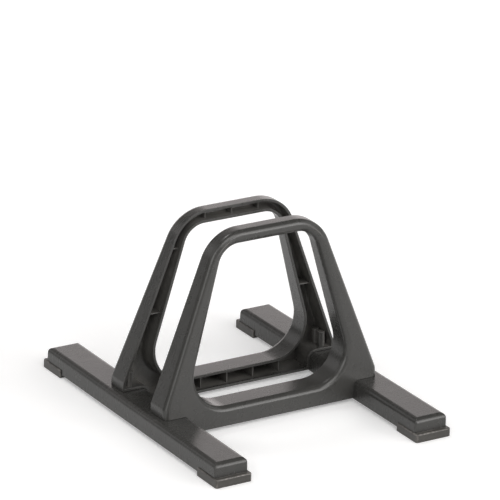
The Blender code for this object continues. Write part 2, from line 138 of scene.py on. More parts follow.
def joinAndCut(name, base, steps):
    # real Boolean joins and cuts, worked out here so that the piece is one plain mesh
    body = newObject(name + "Body", base)
    tools = []
    for operation, mesh in steps:
        tools.append(newObject(name + operation, mesh))
        change = body.modifiers.new(operation, "BOOLEAN")
        change.operation = operation
        change.solver = "EXACT"
        change.object = tools[-1]
    bpy.context.view_layer.update()
    depsgraph = bpy.context.evaluated_depsgraph_get()
    made = bpy.data.meshes.new_from_object(body.evaluated_get(depsgraph))
    made.name = name
    for item in tools + [body]:
        bpy.data.objects.remove(item, do_unlink=True)
    bm = bmesh.new()
    bm.from_mesh(made)
    bmesh.ops.remove_doubles(bm, verts=bm.verts, dist=mergeDistance)
    bmesh.ops.dissolve_degenerate(bm, edges=bm.edges, dist=mergeDistance)
    lost = [edge for edge in bm.edges if edge.is_boundary]  # a sliver that a join dropped
    bmesh.ops.holes_fill(bm, edges=lost, sides=4)
    bm.to_mesh(made)
    bm.free()
    return made


edgeMeasure = {"fullBend": 900.0, "leastSpread": 4e-4}  # radians per metre of a full edge; metres
shelterMeasure = {"reach": 0.03, "lift": 0.0003, "rays": 20, "rayTurn": 2.39996}


def rayFan():
    # directions spread over a half sphere
    rays = []
    for k in range(shelterMeasure["rays"]):
        lift = math.sqrt(1 - (k + 0.5) / shelterMeasure["rays"])
        flat, turn = math.sqrt(1 - lift * lift), k * shelterMeasure["rayTurn"]
        rays.append(Vector((flat * math.cos(turn), flat * math.sin(turn), lift)))
    return rays


def edgeCurve(vert):
    # 1 on tight outside edges, 0.3 on the large rounds, 0 on flats
    bend = 0.0
    for edge in vert.link_edges:
        if len(edge.link_faces) == 2:
            a, b = edge.link_faces
            spread = (a.calc_center_median() - b.calc_center_median()).length
            bend = max(bend, edge.calc_face_angle_signed(0.0) / max(spread, edgeMeasure["leastSpread"]))
    return min(1.0, bend / edgeMeasure["fullBend"])


def shelter(vert, skin, rays):
    # how much of the space in front of the point the piece itself closes off
    aim = vert.normal.to_track_quat("Z", "Y")
    start = vert.co + vert.normal * shelterMeasure["lift"]
    hits = [skin.ray_cast(start, aim @ ray, shelterMeasure["reach"])[0] is not None for ray in rays]
    return sum(hits) / len(rays)


def finishMesh(mesh, sharpAngle=34, sheltered=True):
    # smooth shading, and the two measures that the finishes read from the mesh
    mesh.shade_smooth()
    mesh.set_sharp_from_angle(angle=math.radians(sharpAngle))
    bm = bmesh.new()
    bm.from_mesh(mesh)
    bm.normal_update()
    found = {"edgeCurve": [edgeCurve(vert) for vert in bm.verts]}
    if sheltered:
        skin, rays = BVHTree.FromBMesh(bm), rayFan()
        found["shelter"] = [shelter(vert, skin, rays) for vert in bm.verts]
    bm.free()
    for label, values in found.items():
        attribute = mesh.attributes.new(label, "FLOAT", "POINT")
        attribute.data.foreach_set("value", np.array(values, dtype=np.float32))


def placePiece(name, mesh, material, slotName, *nodes):
    mesh.materials.clear()
    mesh.materials.append(material)
    piece = newObject(name, mesh)
    weighted = piece.modifiers.new("evenShading", "WEIGHTED_NORMAL")
    weighted.keep_sharp = True
    weighted.weight = 80
    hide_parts(*nodes)
    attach(piece, "root")
    return piece


# node tools

def feed(tree, socket, value):
    # a number or a colour is set on the socket, anything else is linked to it
    if isinstance(value, (int, float, tuple)):
        socket.default_value = value
    else:
        tree.links.new(value, socket)


def addNode(tree, kind, inputs=None, **settings):
    node = tree.nodes.new("ShaderNode" + kind)
    for key, value in settings.items():
        setattr(node, key, value)
    for key, value in (inputs or {}).items():
        feed(tree, node.inputs[key], value)
    return node


def addMath(tree, operation, first, second, clamp=False):
    return addNode(tree, "Math", {0: first, 1: second}, operation=operation, use_clamp=clamp).outputs[0]


def times(tree, first, second, clamp=False):
    return addMath(tree, "MULTIPLY", first, second, clamp)


def addNoise(tree, position, scale, detail, roughness, distortion=0.0):
    node = addNode(tree, "TexNoise", {
        "Vector": position, "Scale": scale, "Detail": detail, "Roughness": roughness, "Distortion": distortion,
    })
    return node.outputs["Fac"]


def addRange(tree, value, low, high, newLow=0.0, newHigh=1.0):
    node = addNode(tree, "MapRange", {
        "Value": value, "From Min": low, "From Max": high, "To Min": newLow, "To Max": newHigh,
    }, clamp=True, interpolation_type="SMOOTHSTEP")
    return node.outputs["Result"]


def mixColors(tree, factor, first, second):
    node = addNode(tree, "Mix", {"Factor": factor, "A": first, "B": second}, data_type="RGBA")
    return node.outputs["Result"]


def mixShaders(tree, factor, first, second):
    return addNode(tree, "MixShader", {0: factor, 1: first.outputs[0], 2: second.outputs[0]})


def newGroup(name, inputs, outputs):
    # every effect takes a position; another input is a colour or a number, as its first value is,
    # and an output is a number unless it is named Color
    group = bpy.data.node_groups.new(name, "ShaderNodeTree")
    for label, value in {"Position": None, **inputs}.items():
        kind = "Vector" if value is None else "Color" if isinstance(value, tuple) else "Float"
        socket = group.interface.new_socket(name=label, in_out="INPUT", socket_type="NodeSocket" + kind)
        if value is not None:
            socket.default_value = value
    for label in outputs:
        kind = "Color" if label == "Color" else "Float"
        group.interface.new_socket(name=label, in_out="OUTPUT", socket_type="NodeSocket" + kind)
    start = group.nodes.new("NodeGroupInput")
    end = group.nodes.new("NodeGroupOutput")
    return group, start.outputs, end.inputs


# effects that the finishes share; a noise has its scale per metre, detail, roughness and distortion

def makeMouldGrain():
    # the spark-eroded grain of a steel mould, with the soft waviness of a cooled skin
    group, given, out = newGroup("mouldGrain", {"Grain": 1, "Waviness": 1}, ("Height", "Speckle"))
    fine = addNoise(group, given["Position"], 2100, 2, 0.6)
    cells = addNode(group, "TexVoronoi", {"Vector": given["Position"], "Scale": 1250}, feature="SMOOTH_F1")
    wave = addNoise(group, given["Position"], 38, 2, 0.45)
    grain = addMath(group, "ADD", times(group, fine, 0.55), times(group, cells.outputs["Distance"], 0.45))
    grainPart, wavePart = times(group, grain, given["Grain"]), times(group, wave, given["Waviness"])
    feed(group, out["Height"], addMath(group, "ADD", grainPart, wavePart))
    feed(group, out["Speckle"], addRange(group, grain, 0.25, 0.7))
    return group


def makeToneDrift():
    # slow change of tone over a moulding: flow marks and slightly uneven colouring
    inputs = {"Base": (0.04, 0.04, 0.04, 1), "Other": (0.05, 0.05, 0.05, 1), "Amount": 1}
    group, given, out = newGroup("toneDrift", inputs, ("Color", "Drift"))
    slow = addNoise(group, given["Position"], 17, 4, 0.55, 0.6)
    streak = addNode(group, "Mapping", {"Vector": given["Position"], "Scale": (160, 160, 22)})
    flow = addNoise(group, streak.outputs["Vector"], 1, 3, 0.5)
    mixed = addMath(group, "ADD", times(group, slow, 0.7), times(group, flow, 0.3))
    drift = addRange(group, mixed, 0.34, 0.66)
    strength = times(group, drift, given["Amount"], clamp=True)
    feed(group, out["Color"], mixColors(group, strength, given["Base"], given["Other"]))
    feed(group, out["Drift"], drift)
    return group


def makeEdgeRubAndSheen():
    # where corners are handled and knocked: pale and polished in broken patches; on the shoes the same pale
    # mask paints a highlight line along the lips
    group, given, out = newGroup("edgeRubAndSheen", {"Curve": 0, "Amount": 1}, ("Mask",))
    broken = addRange(group, addNoise(group, given["Position"], 320, 4, 0.65), 0.36, 0.68, 0.25)
    patchy = addRange(group, addNoise(group, given["Position"], 34, 2, 0.5), 0.36, 0.62, 0.35)
    worn = times(group, times(group, broken, patchy), given["Curve"])
    feed(group, out["Mask"], times(group, worn, given["Amount"], clamp=True))
    return group


hairlineRuns = (  # how far each set of hairlines is turned, and its noise scales across and along
    (0.35, (24, 1150, 26)),
    (0.95, (30, 980, 34)),
    (2.45, (27, 1060, 40)),
)


def makeHandling():
    # fine hairlines and rubbed patches that only change the gloss
    group, given, out = newGroup("handling", {"Amount": 1}, ("Gloss", "Hairline"))
    total = None
    for turn, scale in hairlineRuns:
        turned = addNode(group, "Mapping", {
            "Vector": given["Position"], "Rotation": (turn * 0.4, turn * 0.25, turn), "Scale": scale,
        })
        line = addRange(group, addNoise(group, turned.outputs["Vector"], 1, 1, 0.4, 0.12), 0.7, 0.74)
        total = line if total is None else addMath(group, "MAXIMUM", total, line)
    patches = addRange(group, addNoise(group, given["Position"], 62, 3, 0.6, 0.4), 0.38, 0.66)
    feed(group, out["Gloss"], times(group, patches, given["Amount"], clamp=True))
    feed(group, out["Hairline"], times(group, total, given["Amount"], clamp=True))
    return group


def makeDustAndHollowFill():
    # pale dust on faces that look up, and an even pale film in the hollows that is painted fill light
    inputs = {"Up": 0, "Shelter": 0, "Amount": 1, "Hollow": 0}
    group, given, out = newGroup("dustAndHollowFill", inputs, ("Mask",))
    grains = addRange(group, addNoise(group, given["Position"], 900, 2, 0.7), 0.45, 0.75, 0.2)
    cloud = addRange(group, addNoise(group, given["Position"], 28, 4, 0.6), 0.35, 0.7, 0.25)
    faces = addRange(group, given["Up"], 0.55, 0.98)
    settled = times(group, times(group, times(group, grains, cloud), faces), given["Amount"])
    paleFill = addMath(group, "ADD", times(group, cloud, 0.5), times(group, grains, 0.25))
    # painted fill light: the sheltered hollows are made paler, as if bounced light reached into them
    inHollow = times(group, addRange(group, given["Shelter"], 0.15, 0.6), given["Hollow"])
    feed(group, out["Mask"], addMath(group, "ADD", settled, times(group, paleFill, inHollow), clamp=True))
    return group


effects = {
    "mouldGrain": makeMouldGrain(),
    "toneDrift": makeToneDrift(),
    "edgeRubAndSheen": makeEdgeRubAndSheen(),
    "handling": makeHandling(),
    "dustAndHollowFill": makeDustAndHollowFill(),
}


def placeEffect(tree, name, position, **values):
    return addNode(tree, "Group", dict(values, Position=position), node_tree=effects[name]).outputs


# finishes

def newFinish(name, look):
    # a material, and the four effects that every finish here has
    material = bpy.data.materials.new(name)
    material.use_nodes = True
    tree = material.node_tree
    position = addNode(tree, "TexCoord").outputs["Object"]
    curve = addNode(tree, "Attribute", attribute_name="edgeCurve").outputs["Fac"]
    colors = {"Base": look["color"], "Other": look["otherColor"]}
    tone = placeEffect(tree, "toneDrift", position, Amount=look["drift"], **colors)
    rubAndSheen = placeEffect(tree, "edgeRubAndSheen", position, Curve=curve, Amount=look["rubAndSheen"])
    grain = placeEffect(tree, "mouldGrain", position, Grain=look["grain"], Waviness=look["waviness"])
    marks = placeEffect(tree, "handling", position, Amount=look["handling"])
    return material, tree, tree.nodes["Principled BSDF"].inputs, position, tone, rubAndSheen, grain, marks


def bumpNormal(tree, height):
    # the height comes in millimetres
    return addNode(tree, "Bump", {"Strength": 1.0, "Distance": 0.001, "Height": height}).outputs["Normal"]


hoopLook = {
    "color": (0.0345, 0.0345, 0.0322, 1),
    "otherColor": (0.0405, 0.0398, 0.0372, 1),
    "drift": 0.7,
    "speckle": 0.22,
    "speckleColor": (0.06, 0.058, 0.055, 1),
    "rubAndSheen": 0.35,
    "rubAndSheenColor": (0.105, 0.1, 0.097, 1),
    # of the next two amounts, the first scales only the settled dust on faces that look up, the second the
    # painted fill light in the hollows
    "dustAndFill": 0.03,
    "hollowPaintedFill": 0.38,
    "dustAndFillColor": (0.42, 0.4, 0.37, 1),
    "handling": 0.55,
    "ior": 1.49,
    "roughness": 0.27,
    "roughDrift": 0.03,
    "polish": 0.04,
    "hairlineRough": 0.1,
    "rubPolish": 0.06,
    "dustRough": 0.3,
    "grain": 0.0035,  # this and the next two are heights in millimetres
    "waviness": 0.035,
    "hairlineDepth": 0.0003,
}
railLook = dict(hoopLook, roughness=0.26, handling=0.7, ior=1.45)
shoeLook = dict(
    hoopLook,
    color=(0.0355, 0.0335, 0.0295, 1),
    otherColor=(0.0415, 0.0385, 0.034, 1),
    # the paler rub colour and strong rub amount paint a highlight line along the shoes' lips
    rubAndSheenColor=(0.2, 0.187, 0.175, 1),
    roughness=0.33,
    ior=1.45,
    rubAndSheen=1.6,
    grain=0.006,
)


def makePlastic(name, look):
    material, tree, shader, position, tone, rubAndSheen, grain, marks = newFinish(name, look)
    shelterFound = addNode(tree, "Attribute", attribute_name="shelter").outputs["Fac"]
    normal = addNode(tree, "NewGeometry").outputs["Normal"]
    facing = addNode(tree, "SeparateXYZ", {"Vector": normal}).outputs
    dustAndFill = placeEffect(
        tree, "dustAndHollowFill", position,
        Up=facing["Z"], Shelter=shelterFound, Amount=look["dustAndFill"], Hollow=look["hollowPaintedFill"],
    )

    speckle = times(tree, grain["Speckle"], look["speckle"])
    color = mixColors(tree, speckle, tone["Color"], look["speckleColor"])
    # pale rubbed edges; on the shoes this paints a highlight line along the lips
    color = mixColors(tree, rubAndSheen["Mask"], color, look["rubAndSheenColor"])
    # settled dust, and a pale film in the hollows that is painted fill light
    feed(tree, shader["Base Color"], mixColors(tree, dustAndFill["Mask"], color, look["dustAndFillColor"]))

    rough = addMath(tree, "ADD", look["roughness"], times(tree, tone["Drift"], look["roughDrift"]))
    rough = addMath(tree, "SUBTRACT", rough, times(tree, marks["Gloss"], look["polish"]))
    rough = addMath(tree, "ADD", rough, times(tree, marks["Hairline"], look["hairlineRough"]))
    rough = addMath(tree, "SUBTRACT", rough, times(tree, rubAndSheen["Mask"], look["rubPolish"]))
    rough = addMath(tree, "ADD", rough, times(tree, dustAndFill["Mask"], look["dustRough"]), clamp=True)
    feed(tree, shader["Roughness"], rough)

    height = addMath(tree, "SUBTRACT", grain["Height"], times(tree, marks["Hairline"], look["hairlineDepth"]))
    feed(tree, shader["Normal"], bumpNormal(tree, height))
    shader["IOR"].default_value = look["ior"]
    return material


steelLook = {
    "color": (0.6, 0.585, 0.545, 1),
    "otherColor": (0.52, 0.53, 0.55, 1),
    "drift": 1.0,
    "stain": 0.35,
    "stainColor": (0.2, 0.185, 0.165, 1),
    "rubAndSheen": 0.5,
    "rubAndSheenColor": (0.72, 0.71, 0.69, 1),
    "handling": 1.0,
    "roughness": 0.27,
    "grainRough": 0.14,
    "hairlineRough": 0.12,
    "grain": 0.0025,  # this and the next are heights in millimetres
    "waviness": 0.01,
}


def makeZincSteel(look):
    material, tree, shader, _, tone, rubAndSheen, grain, marks = newFinish("zincSteel", look)
    color = mixColors(tree, times(tree, marks["Gloss"], look["stain"]), tone["Color"], look["stainColor"])
    feed(tree, shader["Base Color"], mixColors(tree, rubAndSheen["Mask"], color, look["rubAndSheenColor"]))
    rough = addMath(tree, "ADD", look["roughness"], times(tree, grain["Speckle"], look["grainRough"]))
    rough = addMath(tree, "ADD", rough, times(tree, marks["Hairline"], look["hairlineRough"]), clamp=True)
    feed(tree, shader["Roughness"], rough)
    feed(tree, shader["Normal"], bumpNormal(tree, grain["Height"]))
    shader["Metallic"].default_value = 1.0
    return material


hoopPlastic = makePlastic("hoopPlastic", hoopLook)
railPlastic = makePlastic("railPlastic", railLook)
shoePlastic = makePlastic("shoePlastic", shoeLook)
zincSteel = makeZincSteel(steelLook)
print("stage 2: finishes made")


# sizes of the rails, which the hoops stand on

rail = {
    "length": 0.3525,
    "width": 0.0398,
    "spacing": 0.2423,
    "height": 0.0206,
    "bottom": 0.0037,
    "draft": 0.0004,
    "corner": 0.0022,
    "leastCorner": 0.0005,
    "topRound": 0.0059,
    "wall": 0.003,
    "rib": 0.002,
    "ribDraft": 0.0002,
    "ribCrown": 0.0004,
    "ribPitch": 0.029,
    "footEdge": 0.0005,
    "footSteps": 3,
    "steps": 9,
}
railTop = rail["bottom"] + rail["height"]
railX = rail["spacing"] / 2
railHalfWidth, railEnd = rail["width"] / 2, rail["length"] / 2
gap = 0.0003  # between pieces that only touch


def railSideX(z):
    return railHalfWidth - rail["draft"] * (z - rail["bottom"]) / rail["height"]


# the hoops

hoop = {
    "height": 0.213,
    "gapAtBase": 0.0572,
    "gapAtTop": 0.0546,
    "depthAtBase": 0.0294,
    "depthAtTop": 0.0168,
    "stubHalfWidth": 0.1306,
    "stubHeight": 0.0095,
    "stubBend": 0.01,
    "legTopHalfWidth": 0.0622,
    "topCorner": 0.0435,
    "beamClearance": 0.0052,
    "beamHeight": 0.0204,
    "topBarHeight": 0.0146,
    "legFootWidth": 0.0278,
    "legTopWidth": 0.0122,
    "windowTopCorner": 0.024,
    "windowSillCorner": 0.0385,
    "outerRound": 0.0058,
    "sillRound": 0.006,
    "barFlat": 0.001,
    "wall": 0.003,
    "rimEdge": 0.00045,
    "rib": 0.0018,
    "ribDraft": 0.0002,
    "ribCrown": 0.0005,
    "ribRecess": 0.0055,
    "barRibPitch": 0.0325,
    "legRibPitch": 0.0685,
    "legRibBelowTop": 0.04,
}
hoopSteps = {"corner": 20, "round": 10, "shoulder": 6, "pocket": 5, "stub": 5, "rib": 4, "edge": 3}
hoopTop = hoop["height"]
hoopBite = hoop["wall"] / 2  # how far ribs, webs and bosses reach into a wall
seatZ = railTop + gap
stubTop = seatZ + hoop["stubHeight"]
sillZ = hoop["beamClearance"] + hoop["beamHeight"]
windowTopZ = hoopTop - hoop["topBarHeight"]
topRound = hoop["topBarHeight"] - hoop["outerRound"] - hoop["barFlat"]


def hoopShare(z):
    return (z - railTop) / (hoopTop - railTop)


def legShare(z):
    return (z - stubTop) / (hoopTop - stubTop)


def rimY(z):
    return -between(hoop["gapAtBase"], hoop["gapAtTop"], hoopShare(z)) / 2


def faceY(z):
    return rimY(z) - between(hoop["depthAtBase"], hoop["depthAtTop"], hoopShare(z))


def legOuterX(z):
    return between(hoop["stubHalfWidth"], hoop["legTopHalfWidth"], legShare(z))


def legInnerX(z):
    return legOuterX(z) - between(hoop["legFootWidth"], hoop["legTopWidth"], legShare(z))


def windowRound(z):
    return between(hoop["sillRound"], topRound, (z - sillZ) / (windowTopZ - sillZ))


def leanOf(line):
    return math.atan2(line(0.0) - line(0.1), 0.1)


def cornerArc(sideX, levelZ, radius, above):
    lean = leanOf(sideX)
    halfTurn = (math.pi / 2 - lean) / 2 if above else (math.pi / 2 + lean) / 2
    centre = (sideX(levelZ) - radius * math.tan(halfTurn), levelZ - radius if above else levelZ + radius)
    tilt = math.degrees(lean)
    start, end = (tilt, 90) if above else (-90, tilt)
    return arcPoints(centre, radius, start, end, hoopSteps["corner"])


def withMirror(right):
    return right + [(-x, z) for x, z in reversed(right)]


def stubBendPoints():
    # the soft bend between the upright stub and the leaning leg
    lean, radius = leanOf(legOuterX), hoop["stubBend"]
    centre = (hoop["stubHalfWidth"] - radius, stubTop - radius * math.tan(lean / 2))
    return arcPoints(centre, radius, 0, math.degrees(lean), hoopSteps["stub"])


def hoopOutline():
    shoulder = (railX - railSideX(railTop) + rail["topRound"], railTop - rail["topRound"])
    right = [(railX - railSideX(hoop["beamClearance"]) - gap, hoop["beamClearance"])]
    right += arcPoints(shoulder, rail["topRound"] + gap, 180, 90, hoopSteps["shoulder"])
    right += [(hoop["stubHalfWidth"], seatZ)]
    right += stubBendPoints()
    right += cornerArc(legOuterX, hoopTop, hoop["topCorner"], above=True)
    return withMirror(right)


def windowOutline():
    right = cornerArc(legInnerX, sillZ, hoop["windowSillCorner"], above=False)
    right += cornerArc(legInnerX, windowTopZ, hoop["windowTopCorner"], above=True)
    return withMirror(right)[::-1]


def movedIn(outline, distance):
    # the outline with each of its lines moved in by its own distance
    moved = []
    for index, point in enumerate(outline):
        before, after = outline[index - 1], outline[(index + 1) % len(outline)]
        first = Vector((before[1] - point[1], point[0] - before[0])).normalized()
        second = Vector((point[1] - after[1], after[0] - point[0])).normalized()
        firstGap, secondGap = distance(before, point, point[1]), distance(point, after, point[1])
        turn = first.x * second.y - first.y * second.x
        if abs(turn) < 0.2:  # nearly straight on
            middle = first + second
            shift = middle * ((firstGap + secondGap) / 2 / middle.dot(first))
        else:
            shift = Vector((
                (firstGap * second.y - secondGap * first.y) / turn,
                (first.x * secondGap - second.x * firstGap) / turn,
            ))
        moved.append((point[0] + shift.x, point[1] + shift.y))
    return moved


def isSeat(start, end):
    return max(start[1], end[1]) < seatZ + gap / 2


def outerLoop(outline, inset, seatInset, depthAt):
    # depthAt(z) gives y from the height of each point
    flat = movedIn(outline, lambda a, b, z: seatInset if isSeat(a, b) else inset)
    return [(x, depthAt(z), z) for x, z in flat]


def windowLoop(outline, inset, depthAt):
    # inset and depthAt also take the local radius of the window's front edge
    flat = movedIn(outline, lambda a, b, z: inset(windowRound(z)))
    return [(x, depthAt(z, windowRound(at)), z) for (x, z), (_, at) in zip(flat, outline)]


def hoopShell():
    outer, window = hoopOutline(), windowOutline()
    edge, wall, outerRound = hoop["rimEdge"], hoop["wall"], hoop["outerRound"]
    bm = bmesh.new()

    outside, inside, pocketOut, pocketIn = [], [], [], []
    for left, done in quarterTurn(hoopSteps["edge"]):  # the rim's outside edges
        inset, drop = edge * left, edge * done
        outside.append(outerLoop(outer, inset, inset, lambda z: rimY(z) - drop))
        inside.append(windowLoop(window, lambda r: inset, lambda z, r: rimY(z) - drop))
    for left, done in quarterTurn(hoopSteps["round"]):  # the large front rounds
        outside.append(outerLoop(outer, outerRound * done, 0, lambda z: faceY(z) + outerRound * left))
        inside.append(windowLoop(window, lambda r: r * done, lambda z, r: faceY(z) + r * left))

    for left, done in quarterTurn(hoopSteps["edge"]):  # the rim's pocket edges
        inset, drop = wall - edge * left, edge * done
        pocketOut.append(outerLoop(outer, inset, inset, lambda z: rimY(z) - drop))
        pocketIn.append(windowLoop(window, lambda r: inset, lambda z, r: rimY(z) - drop))
    for left, done in quarterTurn(hoopSteps["pocket"]):  # the round inside corners of the pocket
        inset, rise = wall + (outerRound - wall) * done, (outerRound - wall) * left
        pocketOut.append(outerLoop(outer, inset, wall, lambda z: faceY(z) + wall + rise))
        pocketIn.append(windowLoop(
            window, lambda r: wall + (r - wall) * done, lambda z, r: faceY(z) + wall + (r - wall) * left
        ))

    walls = [loftLoops(bm, rows, closed=False) for rows in (outside, inside, pocketOut, pocketIn)]
    bridge(bm, walls[0][0], walls[2][0])
    bridge(bm, walls[1][0], walls[3][0])
    for wide, narrow in ((walls[0][-1], walls[1][-1]), (walls[2][-1], walls[3][-1])):
        edges = []
        for ring in (wide, narrow):
            for a, b in zip(ring, ring[1:] + ring[:1]):
                edges.append(bm.edges.get((a, b)) or bm.edges.new((a, b)))
        bmesh.ops.triangle_fill(bm, use_beauty=True, edges=edges)
    return asMesh(bm, "hoopShell")


crownTurns = (0.6, 1.1, math.pi / 2)  # radians round a fin's free edge


def addFin(bm, path, thickness, draft, crown, place):
    # a drafted fin with a round free edge; path is (along, root, free edge), place makes a point
    sections = []
    for along, root, free in path:
        half, thin, flat = thickness / 2, thickness / 2 - draft, free - crown
        rise = [(flat + crown * math.sin(turn), crown * (1 - math.cos(turn))) for turn in crownTurns]
        profile = [(root, -half), (flat, -thin)]
        profile += [(deep, -thin + inward) for deep, inward in rise]
        profile += [(deep, thin - inward) for deep, inward in reversed(rise)]
        profile += [(flat, thin), (root, half)]
        sections.append([place(along, deep, wide) for deep, wide in profile])
    loftLoops(bm, sections)


def floorTurn(edge, way, radius):
    # where the channel's floor turns up into a side wall: place across, and climb
    return [
        (edge + way * hoopBite + way * (radius - hoopBite) * done, (radius - hoopBite) * left)
        for left, done in quarterTurn(hoopSteps["rib"])
    ]


def ribPath(turns, level=None):
    # level is the height of a rib that runs across a leg; in the bars the path itself goes up
    path = []
    for along, climb in turns:
        z = along if level is None else level
        path.append((along, faceY(z) + hoopBite + climb, rimY(z) - hoop["ribRecess"]))
    return path


def hoopRibs():
    bm = bmesh.new()
    size = (hoop["rib"], hoop["ribDraft"], hoop["ribCrown"])
    for side in (-1, 1):
        for level in (0, 1):
            z = hoopTop - hoop["legRibBelowTop"] - level * hoop["legRibPitch"]
            turns = floorTurn(legOuterX(z), -1, hoop["outerRound"])
            turns += floorTurn(legInnerX(z), 1, windowRound(z))[::-1]
            addFin(bm, ribPath(turns, z), *size, lambda s, deep, wide: (side * s, deep, z + wide))
    topBar = floorTurn(hoopTop, -1, hoop["outerRound"])
    topBar += floorTurn(windowTopZ, 1, topRound)[::-1]
    beam = floorTurn(sillZ, -1, hoop["sillRound"])
    beam += [(hoop["beamClearance"] + hoopBite, 0.0)]
    for turns, reach in ((topBar, 1), (beam, 2)):
        for step in range(-reach, reach + 1):
            x = step * hoop["barRibPitch"]
            addFin(bm, ribPath(turns), *size, lambda s, deep, wide: (x + wide, deep, s))
    return asMesh(bm, "hoopRibs")


boss = {
    "holeRadius": 0.0024,
    "wall": 0.0019,
    "height": 0.0195,
    "edge": 0.0005,
    "web": 0.002,
    "webDraft": 0.0001,
    "webCrown": 0.0005,
    "webFoot": 0.002,
    "fromRim": 0.008,
    "pitch": 0.0108,
    "sides": 32,
}
bossRadius = boss["holeRadius"] + boss["wall"]
bossLow = seatZ + hoopBite
bossTop = seatZ + boss["height"]
seatMiddleX = (railX - railSideX(railTop) + rail["topRound"] + hoop["stubHalfWidth"]) / 2
firstBossY = rimY(railTop) - boss["fromRim"]
bossPlaces = [(seatMiddleX, firstBossY), (seatMiddleX, firstBossY - boss["pitch"])]


def hoopBosses():
    bm = bmesh.new()
    edge = boss["edge"]
    profile = [(0, bossLow), (bossRadius, bossLow), (bossRadius, bossTop - edge)]
    profile += [
        (bossRadius - edge * (1 - math.cos(turn)), bossTop - edge * (1 - math.sin(turn)))
        for turn in (0.5, 1.05, math.pi / 2)  # round the top edge
    ]
    profile += [(0, bossTop)]
    for side in (-1, 1):
        for x, y in bossPlaces:
            lathe(bm, profile, boss["sides"], (side * x, y))
    return asMesh(bm, "hoopBosses")


def hoopWebs():
    # the upright webs that tie each pair of bosses to the front face
    bm = bmesh.new()
    (x, first), (_, second) = bossPlaces
    top = bossTop - boss["web"]
    path = [(y, bossLow, top) for y in (first, second, faceY(top) + hoopBite)]
    path.append((faceY(bossLow) + hoopBite, bossLow, bossLow + boss["webFoot"]))
    size = (boss["web"], boss["webDraft"], boss["webCrown"])
    for side in (-1, 1):
        addFin(bm, path, *size, lambda s, deep, wide: (side * x + wide, s, deep))
    return asMesh(bm, "hoopWebs")


ejector = {
    "profile": ((2.1e-3, -4e-4), (2.1e-3, 1.2e-4), (1.9e-3, 1.8e-4), (1.7e-3, 1.2e-4), (1.6e-3, 2e-5)),
    "sides": 20,
    "legZ": (0.068, 0.098, 0.126, 0.158),
    "topBarX": 0.0165,
    "beamX": (0.0165, 0.049, 0.082),
    "beamZ": 0.015,
}


def ejectorMarks():
    # the shallow rings that the mould's ejector pins leave on the channel's floor
    bm = bmesh.new()
    facing = Matrix.Rotation(leanOf(faceY) - math.pi / 2, 4, "X")
    sides, turns = (-1, 1), circleTurns(ejector["sides"])
    places = [(side * (legOuterX(z) + legInnerX(z)) / 2, z) for side in sides for z in ejector["legZ"]]
    places += [(side * ejector["topBarX"], (hoopTop + windowTopZ) / 2) for side in sides]
    places += [(side * x, ejector["beamZ"]) for side in sides for x in ejector["beamX"]]
    for x, z in places:
        spot = Matrix.Translation((x, faceY(z) + hoop["wall"], z)) @ facing
        loftLoops(bm, [
            [spot @ Vector((radius * math.cos(turn), radius * math.sin(turn), rise)) for turn in turns]
            for radius, rise in ejector["profile"]
        ])
    return asMesh(bm, "ejectorMarks")


hoopParts = (hoopWebs(), hoopBosses(), hoopRibs(), ejectorMarks())
hoopMesh = joinAndCut("hoop", hoopShell(), [("UNION", part) for part in hoopParts])
finishMesh(hoopMesh)
backHoop = movedCopy(hoopMesh, turn=math.pi)
placePiece("front_hoop", hoopMesh, hoopPlastic, "charcoal_plastic", "front_side_frame")
placePiece("back_hoop", backHoop, hoopPlastic, "charcoal_plastic", "back_side_frame")
print("stage 3: hoops made,", len(hoopMesh.polygons), "faces each")


# the rails

def roundedRectangle(halfX, lowY, highY, lowCorner, highCorner, z, steps):
    flat = arcPoints((halfX - lowCorner, lowY + lowCorner), lowCorner, -90, 0, steps)
    flat += arcPoints((halfX - highCorner, highY - highCorner), highCorner, 0, 90, steps)
    flat += arcPoints((highCorner - halfX, highY - highCorner), highCorner, 90, 180, steps)
    flat += arcPoints((lowCorner - halfX, lowY + lowCorner), lowCorner, 180, 270, steps)
    return [(x, y, z) for x, y in flat]


def railLoop(z, grow, inward=0.0):
    share = (z - rail["bottom"]) / rail["height"]
    halfX = railHalfWidth - rail["draft"] * share + grow - inward
    halfY = railEnd - rail["draft"] * share + grow - inward
    corner = max(rail["corner"] + grow - inward, rail["leastCorner"])
    return roundedRectangle(halfX, -halfY, halfY, corner, corner, z, rail["steps"])


def railForm(grow, name, foot=0.0):
    # the rail's outside grown or shrunk all round; the rail itself has a small edge round its foot
    radius = rail["topRound"] + grow
    if foot:
        feet = quarterTurn(rail["footSteps"])
        sections = [railLoop(rail["bottom"] + foot * done, grow, foot * left) for left, done in feet]
    else:
        sections = [railLoop(rail["bottom"] - abs(grow), grow)]
    for left, done in quarterTurn(rail["steps"]):
        sections.append(railLoop(railTop + grow - radius * left, grow, radius * done))
    bm = bmesh.new()
    loftLoops(bm, sections)
    return asMesh(bm, name)


def railRibs(clearLow, clearHigh, reach):
    # cross ribs under the rail, left out between clearLow and clearHigh where the seat screws are
    bm = bmesh.new()
    size = (rail["rib"], rail["ribDraft"], rail["ribCrown"])
    count = int(reach / rail["ribPitch"])
    side = railSideX(railTop) - rail["wall"] / 2
    flat = railSideX(railTop) - rail["topRound"]
    low = rail["bottom"] + rail["rib"]
    atSide, atTop = railTop - rail["topRound"], railTop - rail["wall"] / 2
    path = [(x, -root, -low) for x, root in ((-side, atSide), (-flat, atTop), (flat, atTop), (side, atSide))]
    for step in range(-count, count + 1):
        y = step * rail["ribPitch"]
        if not clearLow < abs(y) < clearHigh:
            addFin(bm, path, *size, lambda s, deep, wide: (s, y + wide, -deep))
    return asMesh(bm, "railRibs")


postSides = 28


def uprightPosts(places, radius, low, high):
    bm = bmesh.new()
    for place in places:
        lathe(bm, [(0, low), (radius, low), (radius, high), (0, high)], postSides, place)
    return asMesh(bm, "posts")


